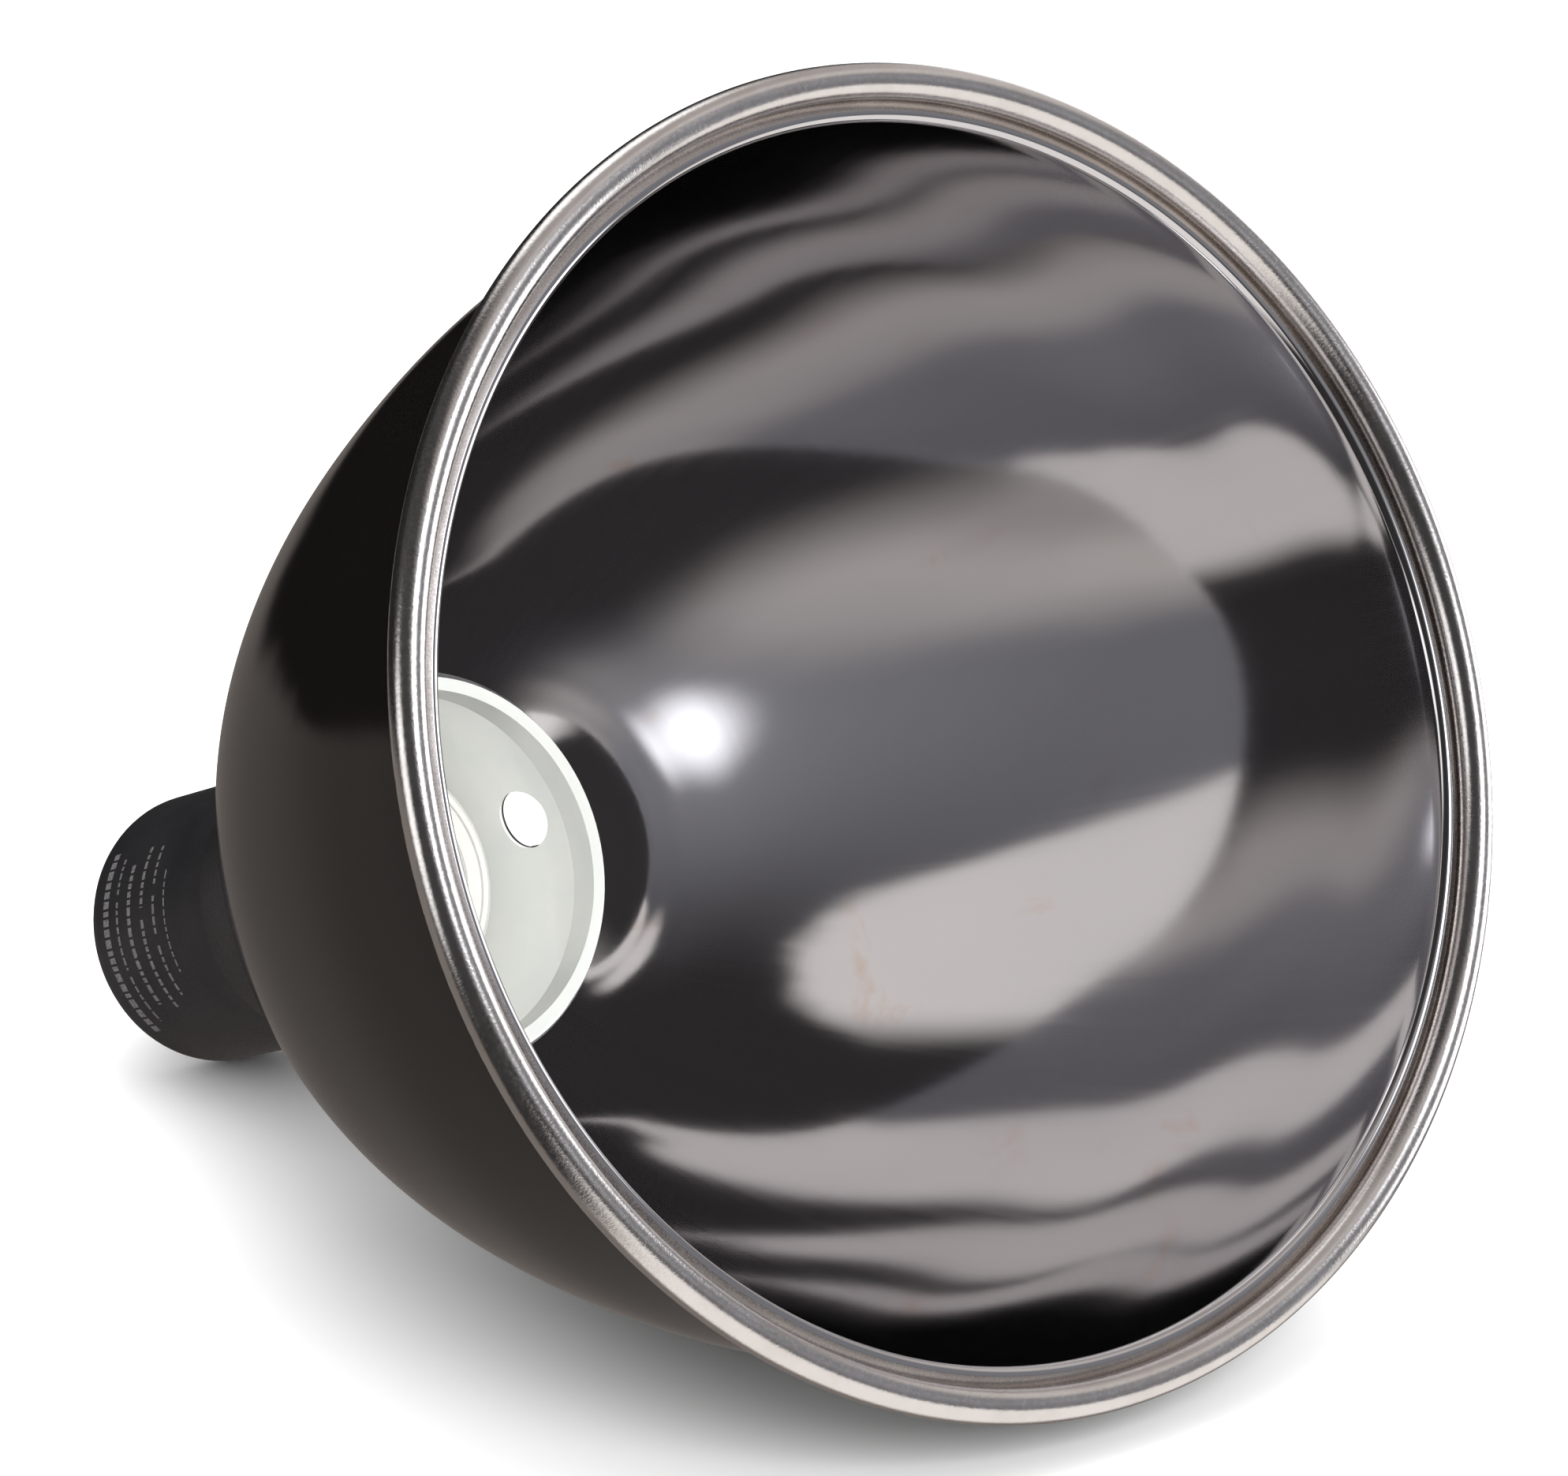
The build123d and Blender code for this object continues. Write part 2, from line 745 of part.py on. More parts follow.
leg_z = coil_low + coil_pitch * coil_turns + 1.6
with BuildPart() as spring_leg:
    with BuildLine():
        free_leg = Polyline(
            Vector(*clamp_xy(coil_r, 3), leg_z),
            Vector(*clamp_xy(coil_r + 1, -8), leg_z),
            Vector(*clamp_xy(b_handle_x - 0.6, -18), leg_z),
        )
    with BuildSketch(Plane(origin=free_leg @ 0, z_dir=free_leg % 0)):
        Circle(coil_wire)
    sweep(path=free_leg, transition=Transition.ROUND)
save(spring_leg, "spring_free_leg")

pad_mid = jaw_reach - pad_length / 2
for side, low, name in ((-1, ear_a_low + 1, "pad_fixed"), (1, jaw_b_low + 0.4, "pad_moving")):
    with BuildPart() as pad:
        with BuildSketch(level(low)):
            with Locations(clamp_xy(side * (pad_face + tip_plate) / 2, pad_mid)):
                RectangleRounded(tip_plate - pad_face, pad_length, 0.8)
            # gripping grooves in the face
            for step in range(5):
                with Locations(clamp_xy(side * pad_face, pad_mid - 6.8 + 3.4 * step)):
                    Circle(0.8, mode=Mode.SUBTRACT)
        extrude(amount=clamp_height - 2 * low)
    save(pad, name)

grip_wall = 1.4
grips = (
    ("grip_fixed", path_a[0], path_a[1], 0.0, ear_a_low),
    ("grip_moving", path_b[0], path_b[1], jaw_b_low - grip_wall, jaw_b_low),
)
for name, end, inner, low, plate_low in grips:
    end = Vector(*end)
    along = (Vector(*inner) - end).normalized()
    with BuildPart() as grip:
        with BuildSketch(level(low)):
            with BuildLine():
                spine = Line(end, end + along * 27)
            trace(lines=spine, line_width=jaw_sheet + 2 * grip_wall)
            with Locations(end):
                Circle(jaw_sheet / 2 + grip_wall)
        extrude(amount=clamp_height - 2 * low)
        fillet(grip.edges().filter_by(Axis.Z, reverse=True), 0.6)
        with BuildSketch(level(plate_low)):
            with BuildLine():
                spine = Line(end, end + along * 30)
            trace(lines=spine, line_width=jaw_sheet + 0.02)
        extrude(amount=clamp_height - 2 * plate_low, mode=Mode.SUBTRACT)
    save(grip, name)

print(f"tilt {degrees(tilt):.3f}  rim centre {rim_y:.3f} {rim_z:.3f}  swivel up {swivel_up:.3f}")
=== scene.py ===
"""Looks for the dome reflector clamp lamp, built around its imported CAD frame.

The lamp's axes come from the frame: the lampholder's mount and the tilt joint. The part's own lengths
are in millimetres and turned into metres by MM. Depth is measured along the lamp axis, from the rim
plane towards the housing's closed end.
"""
import json
import math
import random

import bmesh
import bpy
import numpy as np
from mathutils import Matrix, Vector


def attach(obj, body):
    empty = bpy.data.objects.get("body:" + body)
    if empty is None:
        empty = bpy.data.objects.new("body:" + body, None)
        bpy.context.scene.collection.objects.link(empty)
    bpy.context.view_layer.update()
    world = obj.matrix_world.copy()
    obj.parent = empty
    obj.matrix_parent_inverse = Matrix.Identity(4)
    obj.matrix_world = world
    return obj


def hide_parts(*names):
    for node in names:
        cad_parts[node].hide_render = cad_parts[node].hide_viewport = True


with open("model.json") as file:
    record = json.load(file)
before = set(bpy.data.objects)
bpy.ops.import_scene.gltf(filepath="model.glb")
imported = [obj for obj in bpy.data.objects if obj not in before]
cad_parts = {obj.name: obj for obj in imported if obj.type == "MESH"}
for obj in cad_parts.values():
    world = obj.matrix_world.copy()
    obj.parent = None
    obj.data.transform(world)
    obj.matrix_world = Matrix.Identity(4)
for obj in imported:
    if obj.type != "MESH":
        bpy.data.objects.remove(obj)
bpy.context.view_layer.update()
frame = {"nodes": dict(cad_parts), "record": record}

MM = 0.001
HEAD = "lamp_head"
random.seed(11)

# ---------------------------------------------------------------- the lamp's own axes
mounts = {mount["name"]: mount for mount in frame["record"]["mounts"]}
joints = {joint["name"]: joint for joint in frame["record"]["behaviour"]["joints"]}
HOLDER_MOUNT_DEPTH = 191.0  # from the rim plane, mm
OUT = Vector(mounts["e27_lampholder"]["axis"]).normalized()
IN = -OUT
SIDE = Vector((1, 0, 0))
UP = Vector(joints["arm_tilt"]["axis"]).normalized()
RIM = Vector(mounts["e27_lampholder"]["pos_m"]) + OUT * HOLDER_MOUNT_DEPTH * MM

# driving sizes, the same as the CAD part's (mm)
RIM_R = 107.5
BEAD_R = 2.9
SHEET = 1.0
HOUSING_WALL = 1.2
WALL_TOP_R = 99.3
FLANGE_DEPTH = 4.2
NECK_FLAT_DEPTH = 158.4
NECK_FLAT_R = 35.4
NECK_R = 33.2
DOME_WALL = [
    (98.9, 14.0), (97.3, 28.0), (93.9, 50.0), (88.8, 70.0), (82.2, 90.0),
    (73.4, 110.0), (64.8, 125.0), (54.6, 140.0), (47.4, 148.9), (41.6, 154.2),
]
NECK_STRAIGHT = 162.8
FLARE_END = 198.0
CAP_R = 25.0
CAP_DEPTH = 240.0
CAP_CORNER = 5.0
SHELL_R = 13.3
SHELL_FRONT = 181.0
SHELL_BACK = 201.5


def at(angle, r, depth):
    """Point at an angle from +X towards UP, a radius and a depth, all in the lamp's own axes (mm)."""
    radial = SIDE * math.cos(angle) + UP * math.sin(angle)
    return RIM + radial * (r * MM) + IN * (depth * MM)


# ---------------------------------------------------------------- node helpers
class Nodes:
    """Short calls for the nodes used here, in the node tree of a material or a world."""

    def __init__(self, owner):
        owner.use_nodes = True
        self.owner = owner
        self.tree = owner.node_tree

    def new(self, kind, **settings):
        node = self.tree.nodes.new(kind)
        for key, value in settings.items():
            setattr(node, key, value)
        return node

    def put(self, socket, value):
        if isinstance(value, bpy.types.NodeSocket):
            self.tree.links.new(value, socket)
        else:
            socket.default_value = value

    def math(self, operation, a, b=0.0):
        node = self.new("ShaderNodeMath", operation=operation)
        self.put(node.inputs[0], a)
        self.put(node.inputs[1], b)
        return node.outputs[0]

    def vector(self, operation, a, b=(0, 0, 0)):
        node = self.new("ShaderNodeVectorMath", operation=operation)
        self.put(node.inputs[0], a)
        self.put(node.inputs[1], b)
        value_out = operation in ("DOT_PRODUCT", "LENGTH")
        return node.outputs["Value" if value_out else "Vector"]

    def scaled(self, place, x, y, z):
        return self.vector("MULTIPLY", place, (x, y, z))

    def noise(self, place, scale, detail=4.0, roughness=0.55, distortion=0.0):
        node = self.new("ShaderNodeTexNoise")
        self.put(node.inputs["Vector"], place)
        self.put(node.inputs["Scale"], scale)
        self.put(node.inputs["Detail"], detail)
        self.put(node.inputs["Roughness"], roughness)
        self.put(node.inputs["Distortion"], distortion)
        return node.outputs["Fac"]

    def remap(self, value, low, high, to_low, to_high, smooth=True):
        node = self.new("ShaderNodeMapRange", interpolation_type="SMOOTHSTEP" if smooth else "LINEAR")
        for key, number in zip(("Value", "From Min", "From Max", "To Min", "To Max"),
                               (value, low, high, to_low, to_high)):
            self.put(node.inputs[key], number)
        return node.outputs["Result"]

    def mix(self, factor, a, b):
        # a mix node has sockets for each data type: 2 and 3 for a float, 6 and 7 for a colour
        node = self.new("ShaderNodeMix", data_type="RGBA")
        self.put(node.inputs["Factor"], factor)
        self.put(node.inputs[6], a)
        self.put(node.inputs[7], b)
        return node.outputs[2]

    def blend(self, factor, a, b):
        node = self.new("ShaderNodeMix", data_type="FLOAT")
        self.put(node.inputs["Factor"], factor)
        self.put(node.inputs[2], a)
        self.put(node.inputs[3], b)
        return node.outputs[0]

    def bump(self, height, distance, strength, under=None):
        node = self.new("ShaderNodeBump")
        self.put(node.inputs["Height"], height)
        self.put(node.inputs["Distance"], distance)
        self.put(node.inputs["Strength"], strength)
        if under is not None:
            self.put(node.inputs["Normal"], under)
        return node.outputs["Normal"]


class Surface(Nodes):
    """A new material. Its shader's sockets are set by name, with _ for a space."""

    def __init__(self, name):
        super().__init__(bpy.data.materials.new(name))
        self.place = self.new("ShaderNodeTexCoord").outputs["Object"]

    def lamp_axes(self):
        """Depth and radius of the shaded point, and its offset from the lamp axis, in metres."""
        offset = self.vector("SUBTRACT", self.place, tuple(RIM))
        depth = self.vector("DOT_PRODUCT", offset, tuple(IN))
        along = self.new("ShaderNodeVectorMath", operation="SCALE")
        self.put(along.inputs[0], tuple(IN))
        self.put(along.inputs["Scale"], depth)
        radial = self.vector("SUBTRACT", offset, along.outputs["Vector"])
        return depth, self.vector("LENGTH", radial), radial

    def shade(self, **values):
        shader = self.tree.nodes["Principled BSDF"]
        for key, value in values.items():
            self.put(shader.inputs[key.replace("_", " ")], value)
        return self.owner


def rgb(r, g, b):
    return (r, g, b, 1.0)


# ---------------------------------------------------------------- materials
def polished_aluminium():
    n = Surface("polished_aluminium")
    depth, radius, radial = n.lamp_axes()
    # spinning marks run round the bowl, so their pattern is stretched along the turn
    rings_per_metre, changes_per_metre, streaks_around = 1100.0, 14, 60.0
    stretched = n.new("ShaderNodeCombineXYZ")
    n.put(stretched.inputs[0], n.math("MULTIPLY", depth, rings_per_metre))
    n.put(stretched.inputs[1], n.math("MULTIPLY", radius, rings_per_metre))
    n.put(stretched.inputs[2], n.vector("DOT_PRODUCT", radial, tuple(SIDE * changes_per_metre)))
    rings = n.noise(stretched.outputs[0], 1.0, 3.0)
    # polishing streaks run from the rim to the neck
    around = n.scaled(n.vector("NORMALIZE", radial), streaks_around, streaks_around, streaks_around)
    streaks = n.noise(around, 1.0, 4.0, 0.7)
    haze = n.noise(n.place, 11.0, 4.0, 0.55)
    dents = n.noise(n.place, 17.0, 1.0, 0.4)
    stain = n.noise(n.place, 26.0, 4.0, 0.6, 1.5)
    warm = n.mix(n.remap(stain, 0.62, 0.80, 0.0, 0.7), rgb(0.79, 0.78, 0.785), rgb(0.76, 0.60, 0.49))
    color = n.mix(n.remap(haze, 0.35, 0.7, 0.0, 0.4), warm, rgb(0.72, 0.71, 0.735))
    rough = n.math("ADD", n.remap(haze, 0.3, 0.75, 0.030, 0.060), n.math("MULTIPLY", streaks, 0.06))
    normal = n.bump(rings, 0.000003, 0.4)
    normal = n.bump(dents, 0.0009, 0.16, normal)
    return n.shade(Base_Color=color, Metallic=1.0, Roughness=rough, Normal=normal)


def rim_metal():
    n = Surface("rim_metal")
    depth, radius, _ = n.lamp_axes()
    cross = n.noise(n.place, 2300.0, 3.0, 0.7)
    broad = n.noise(n.place, 120.0, 4.0)
    color = n.mix(n.remap(broad, 0.35, 0.7, 0.0, 0.5), rgb(0.90, 0.87, 0.85), rgb(0.78, 0.735, 0.70))
    # ragged edge of the black paint, just behind the bead's outermost line
    raggedness, paint_r, paint_depth = 1.6, RIM_R - 1.9, BEAD_R + 0.95
    ragged = n.math("MULTIPLY", n.math("SUBTRACT", n.noise(n.place, 260.0, 5.0, 0.7), 0.5), raggedness * MM)
    edge = n.math("ADD", depth, ragged)
    outside = n.remap(radius, (paint_r - 0.2) * MM, (paint_r + 0.2) * MM, 0.0, 1.0)
    behind = n.remap(edge, (paint_depth - 0.05) * MM, (paint_depth + 0.05) * MM, 0.0, 1.0)
    paint = n.math("MULTIPLY", outside, behind)
    color = n.mix(paint, color, rgb(0.012, 0.011, 0.011))
    metal = n.math("SUBTRACT", 1.0, paint)
    rough = n.blend(paint, n.remap(cross, 0.3, 0.7, 0.12, 0.24), 0.22)
    normal = n.bump(cross, 0.00005, 0.6)
    normal = n.bump(broad, 0.0001, 0.2, normal)
    return n.shade(Base_Color=color, Metallic=metal, Roughness=rough, Normal=normal)


def matte_flange():
    n = Surface("matte_flange")
    grain = n.noise(n.place, 3200.0, 3.0, 0.7)
    broad = n.noise(n.place, 60.0, 4.0)
    color = n.mix(n.remap(broad, 0.3, 0.7, 0.0, 1.0), rgb(0.56, 0.515, 0.49), rgb(0.44, 0.40, 0.38))
    normal = n.bump(grain, 0.000015, 0.5)
    rough = n.remap(grain, 0.3, 0.7, 0.22, 0.36)
    return n.shade(Base_Color=color, Metallic=1.0, Roughness=rough, Normal=normal)


def gloss_enamel():
    n = Surface("gloss_black_enamel")
    peel = n.noise(n.place, 260.0, 2.0)
    wide = n.noise(n.place, 14.0, 2.0)
    dust = n.noise(n.place, 2400.0, 2.0, 0.8)
    color = n.mix(n.remap(dust, 0.66, 0.78, 0.0, 0.15), rgb(0.0045, 0.0038, 0.0034), rgb(0.03, 0.027, 0.025))
    rough = n.remap(wide, 0.3, 0.7, 0.07, 0.11)
    normal = n.bump(peel, 0.00002, 0.12)
    normal = n.bump(wide, 0.0004, 0.10, normal)
    return n.shade(Base_Color=color, Roughness=rough, Normal=normal, IOR=1.5)


def housing_paint():
    """Satin black outside and gloss white inside, told apart by the wall's middle line."""
    n = Surface("housing_paint")
    depth, radius, _ = n.lamp_axes()
    half_wall, paint_start = HOUSING_WALL / 2, 157.5
    middle = n.remap(depth, NECK_STRAIGHT * MM, FLARE_END * MM, (NECK_R - half_wall) * MM,
                     (CAP_R - half_wall) * MM, smooth=False)
    outer = n.math("GREATER_THAN", radius, middle)
    behind_lip = n.math("GREATER_THAN", depth, paint_start * MM)
    # round the closed end, the middle of the wall is an arc about the corner's centre
    past_r = n.math("MAXIMUM", n.math("SUBTRACT", radius, (CAP_R - CAP_CORNER) * MM), 0.0)
    past_depth = n.math("MAXIMUM", n.math("SUBTRACT", depth, (CAP_DEPTH - CAP_CORNER) * MM), 0.0)
    from_centre = n.math("SQRT", n.math("ADD", n.math("MULTIPLY", past_r, past_r),
                                        n.math("MULTIPLY", past_depth, past_depth)))
    end = n.math("GREATER_THAN", from_centre, (CAP_CORNER - half_wall) * MM)
    in_cap = n.math("GREATER_THAN", depth, FLARE_END * MM)
    black = n.math("MAXIMUM", n.math("MULTIPLY", outer, behind_lip), n.math("MULTIPLY", end, in_cap))
    wide = n.noise(n.place, 70.0, 4.0)
    fine = n.noise(n.place, 1500.0, 3.0, 0.7)
    dark = n.mix(n.remap(wide, 0.3, 0.7, 0.0, 1.0), rgb(0.0105, 0.0100, 0.0118), rgb(0.0150, 0.0140, 0.0155))
    dark = n.mix(n.remap(fine, 0.60, 0.78, 0.0, 0.3), dark, rgb(0.045, 0.043, 0.045))
    white = n.mix(n.remap(wide, 0.3, 0.7, 0.0, 1.0), rgb(0.86, 0.87, 0.83), rgb(0.81, 0.83, 0.80))
    rough_black = n.remap(fine, 0.3, 0.7, 0.36, 0.50)
    rough_white = n.remap(wide, 0.3, 0.7, 0.07, 0.15)
    normal = n.bump(fine, 0.00003, 0.35)
    normal = n.bump(wide, 0.0003, 0.2, normal)
    return n.shade(Base_Color=n.mix(black, white, dark), Roughness=n.blend(black, rough_white, rough_black),
                   Normal=normal)


def satin_black():
    n = Surface("satin_black")
    wide = n.noise(n.place, 90.0, 4.0)
    fine = n.noise(n.place, 1500.0, 3.0, 0.7)
    color = n.mix(n.remap(wide, 0.3, 0.7, 0.0, 1.0), rgb(0.012, 0.0115, 0.013), rgb(0.02, 0.019, 0.020))
    worn = n.remap(n.noise(n.place, 420.0, 5.0, 0.75), 0.68, 0.78, 0.0, 0.35)
    color = n.mix(worn, color, rgb(0.10, 0.10, 0.10))
    return n.shade(Base_Color=color, Roughness=n.remap(fine, 0.3, 0.7, 0.34, 0.52),
                   Normal=n.bump(fine, 0.00003, 0.4))


def glazed_ceramic():
    n = Surface("glazed_ceramic")
    wide = n.noise(n.place, 90.0, 3.0)
    pore = n.noise(n.place, 1300.0, 3.0, 0.7)
    color = n.mix(n.remap(wide, 0.3, 0.7, 0.0, 1.0), rgb(0.84, 0.83, 0.80), rgb(0.78, 0.77, 0.74))
    color = n.mix(n.remap(pore, 0.68, 0.76, 0.0, 0.5), color, rgb(0.45, 0.43, 0.40))
    return n.shade(Base_Color=color, Roughness=n.remap(wide, 0.3, 0.7, 0.16, 0.28), Coat_Weight=0.4,
                   Coat_Roughness=0.05, Normal=n.bump(pore, 0.00003, 0.3))


def plated(name, tint, dull, low, high):
    """Plated or bare metal with drawing marks along it and a duller, patchy film."""
    n = Surface(name)
    marks = n.noise(n.scaled(n.place, 1.0, 0.08, 1.0), 1800.0, 3.0, 0.6)
    film = n.noise(n.place, 160.0, 5.0, 0.65)
    color = n.mix(n.remap(film, 0.35, 0.7, 0.0, 1.0), tint, dull)
    rough = n.math("ADD", n.remap(film, 0.3, 0.75, low, high), n.math("MULTIPLY", marks, 0.08))
    normal = n.bump(marks, 0.00002, 0.5)
    normal = n.bump(film, 0.00008, 0.3, normal)
    return n.shade(Base_Color=color, Metallic=1.0, Roughness=rough, Normal=normal)


def soft_black(name, base, light, low, high, grain_scale):
    """Rubber, vinyl or plastic: fine moulded grain, with a little dust on it."""
    n = Surface(name)
    grain = n.noise(n.place, grain_scale, 3.0, 0.7)
    dust = n.noise(n.place, 190.0, 5.0, 0.7)
    color = n.mix(n.remap(dust, 0.5, 0.8, 0.0, 0.6), base, light)
    return n.shade(Base_Color=color, Roughness=n.remap(grain, 0.3, 0.7, low, high),
                   Normal=n.bump(grain, 0.00008, 0.5))


def print_ink():
    n = Surface("print_ink")
    wear = n.noise(n.place, 2600.0, 4.0, 0.75)
    color = n.mix(n.remap(wear, 0.40, 0.66, 0.0, 1.0), rgb(0.13, 0.12, 0.125), rgb(0.045, 0.042, 0.045))
    return n.shade(Base_Color=color, Roughness=n.remap(wear, 0.3, 0.7, 0.45, 0.6),
                   Normal=n.bump(wear, 0.00001, 0.4))


def pale_floor():
    n = Surface("pale_floor")
    wide = n.noise(n.place, 3.0, 3.0)
    color = n.mix(n.remap(wide, 0.3, 0.7, 0.0, 1.0), rgb(0.93, 0.93, 0.93), rgb(0.95, 0.95, 0.95))
    return n.shade(Base_Color=color, Roughness=0.6, Specular_IOR_Level=0.1)


POLISHED = polished_aluminium()
RIM_METAL = rim_metal()
FLANGE = matte_flange()
ENAMEL = gloss_enamel()
HOUSING = housing_paint()
SATIN = satin_black()
CERAMIC = glazed_ceramic()
INK = print_ink()
ZINC = plated("zinc_plate", rgb(0.62, 0.63, 0.65), rgb(0.44, 0.45, 0.48), 0.24, 0.40)
NICKEL = plated("nickel_plate", rgb(0.72, 0.69, 0.64), rgb(0.55, 0.51, 0.46), 0.18, 0.30)
BRASS = plated("brass", rgb(0.78, 0.60, 0.30), rgb(0.55, 0.40, 0.20), 0.22, 0.38)
SPRING = plated("spring_steel", rgb(0.30, 0.30, 0.31), rgb(0.18, 0.17, 0.17), 0.28, 0.45)
RUBBER = soft_black("black_rubber", rgb(0.016, 0.016, 0.016), rgb(0.05, 0.048, 0.045), 0.55, 0.75, 2200.0)
VINYL = soft_black("dipped_vinyl", rgb(0.014, 0.014, 0.016), rgb(0.04, 0.04, 0.04), 0.28, 0.42, 900.0)
PLASTIC = soft_black("black_plastic", rgb(0.02, 0.02, 0.02), rgb(0.05, 0.05, 0.05), 0.42, 0.58, 1600.0)

NODE_MATERIALS = {
    "neck_ring": SATIN, "socket_housing": HOUSING, "ceramic_holder": CERAMIC, "centre_contact": BRASS,
    "terminals": BRASS, "terminal_screws": ZINC, "holder_strap": ZINC, "holder_screws": ZINC,
    "strap_rivets": ZINC, "cable_gland": RUBBER, "cord_grip": PLASTIC, "cord_grip_screws": ZINC,
    "tilt_bracket": SATIN, "bracket_rivets": SATIN, "tilt_bolt": ZINC, "tilt_washers": ZINC,
    "wing_nut": ZINC, "swivel_arm": SATIN, "swivel_washer": PLASTIC, "swivel_rivet": ZINC,
    "jaw_fixed": ZINC, "jaw_moving": ZINC, "hinge_pin": ZINC, "torsion_spring": SPRING,
    "spring_free_leg": SPRING, "pad_fixed": RUBBER, "pad_moving": RUBBER, "grip_fixed": VINYL,
    "grip_moving": VINYL, "rim_wire": ZINC,
}
for node_name, material in NODE_MATERIALS.items():
    mesh = frame["nodes"][node_name].data
    mesh.materials.clear()
    mesh.materials.append(material)


# ---------------------------------------------------------------- mesh helpers
SHARP_ANGLE = 35
TURN_SEGMENTS = 512


def curve_through(points, start, end, steps):
    """Smooth curve through (r, depth) points with set end directions, sampled steps times a span."""
    p = np.array(points, float)
    chord = np.hypot(*np.diff(p, axis=0).T)
    count = len(p)
    system = np.zeros((count, count))
    known = np.zeros((count, 2))
    system[0, 0] = system[-1, -1] = 1
    known[0] = start
    known[-1] = end
    for i in range(1, count - 1):
        before, after = chord[i - 1], chord[i]
        system[i, i - 1:i + 2] = after, 2 * (before + after), before
        known[i] = 3 * (after * (p[i] - p[i - 1]) / before + before * (p[i + 1] - p[i]) / after)
    slope = np.linalg.solve(system, known)
    curve = []
    for i in range(count - 1):
        for k in range(steps):
            u = k / steps
            h = chord[i]
            curve.append((2 * u**3 - 3 * u**2 + 1) * p[i] + (u**3 - 2 * u**2 + u) * h * slope[i]
                         + (3 * u**2 - 2 * u**3) * p[i + 1] + (u**3 - u**2) * h * slope[i + 1])
    curve.append(p[-1])
    return np.array(curve)


def inset(curve, amount):
    """The curve moved square to itself, towards the lamp axis."""
    direction = np.gradient(curve, axis=0)
    direction /= np.hypot(*direction.T)[:, None]
    return curve + amount * np.stack([-direction[:, 1], direction[:, 0]], axis=1)


def arc(r, depth, radius, start, end, steps):
    """Arc in the (r, depth) plane; angle 0 points outwards and 90 degrees into depth."""
    angles = np.radians(np.linspace(start, end, steps))
    return np.stack([r + radius * np.cos(angles), depth + radius * np.sin(angles)], axis=1)


def mesh_object(name, vertices, faces, body, materials, face_slots=None):
    mesh = bpy.data.meshes.new(name)
    mesh.from_pydata([tuple(v) for v in vertices], [], faces)
    for material in materials:
        mesh.materials.append(material)
    if face_slots is not None:
        mesh.polygons.foreach_set("material_index", face_slots)
    work = bmesh.new()
    work.from_mesh(mesh)
    bmesh.ops.recalc_face_normals(work, faces=work.faces)
    work.to_mesh(mesh)
    work.free()
    mesh.polygons.foreach_set("use_smooth", [True] * len(mesh.polygons))
    mesh.set_sharp_from_angle(angle=math.radians(SHARP_ANGLE))
    piece = bpy.data.objects.new(name, mesh)
    bpy.context.scene.collection.objects.link(piece)
    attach(piece, body)
    return piece


def turned(name, outline, slots, body, materials):
    """A closed (r, depth) outline turned round the lamp axis. slots holds one material index per edge."""
    count = len(outline)
    vertices = []
    for s in range(TURN_SEGMENTS):
        angle = 2 * math.pi * s / TURN_SEGMENTS
        vertices += [at(angle, r, depth) for r, depth in outline]
    faces = []
    for s in range(TURN_SEGMENTS):
        here, there = s * count, (s + 1) % TURN_SEGMENTS * count
        for i in range(count):
            j = (i + 1) % count
            faces.append((here + i, here + j, there + j, there + i))
    return mesh_object(name, vertices, faces, body, materials, slots * TURN_SEGMENTS)


# ---------------------------------------------------------------- reflector
def build_reflector():
    """The dome's sheet: wall, flat seat on the neck, flange and rolled rim, in four finishes."""
    outside, inside, flange, rim = range(4)
    wall_points = [(WALL_TOP_R, FLANGE_DEPTH), *DOME_WALL, (NECK_FLAT_R, NECK_FLAT_DEPTH)]
    at_flange, at_neck, steps = (0, 1), (-0.86, 0.51), 12
    outer = curve_through(wall_points, at_flange, at_neck, steps)
    inner = inset(outer, SHEET)
    inner[0] = (WALL_TOP_R - SHEET, FLANGE_DEPTH)
    seat_r = NECK_R + 0.1
    flange_front = FLANGE_DEPTH - SHEET
    roll = arc(RIM_R - BEAD_R, BEAD_R, BEAD_R, 118, -206, 60)
    # the wall's last three points inside give way to the bend into the flange
    bend_r = 1.5
    bend_centre_r = WALL_TOP_R - SHEET + bend_r
    bend = arc(bend_centre_r, flange_front + bend_r, bend_r, 180, 270, 9)
    sections = [
        (outer, outside),
        (np.array([(seat_r, NECK_FLAT_DEPTH), (seat_r, NECK_FLAT_DEPTH - SHEET)]), inside),
        (inner[::-1][:-3], inside),
        (bend, inside),
        (np.array([(bend_centre_r + 0.2, flange_front)]), flange),
        (roll[::-1], rim),
        (np.array([(WALL_TOP_R + 0.4, FLANGE_DEPTH)]), outside),
    ]
    outline = []
    slots = []
    for points, slot in sections:
        outline += [tuple(point) for point in points]
        slots += [slot] * len(points)
    piece = turned("reflector", outline, slots, HEAD, [ENAMEL, POLISHED, FLANGE, RIM_METAL])
    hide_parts("reflector_dome")


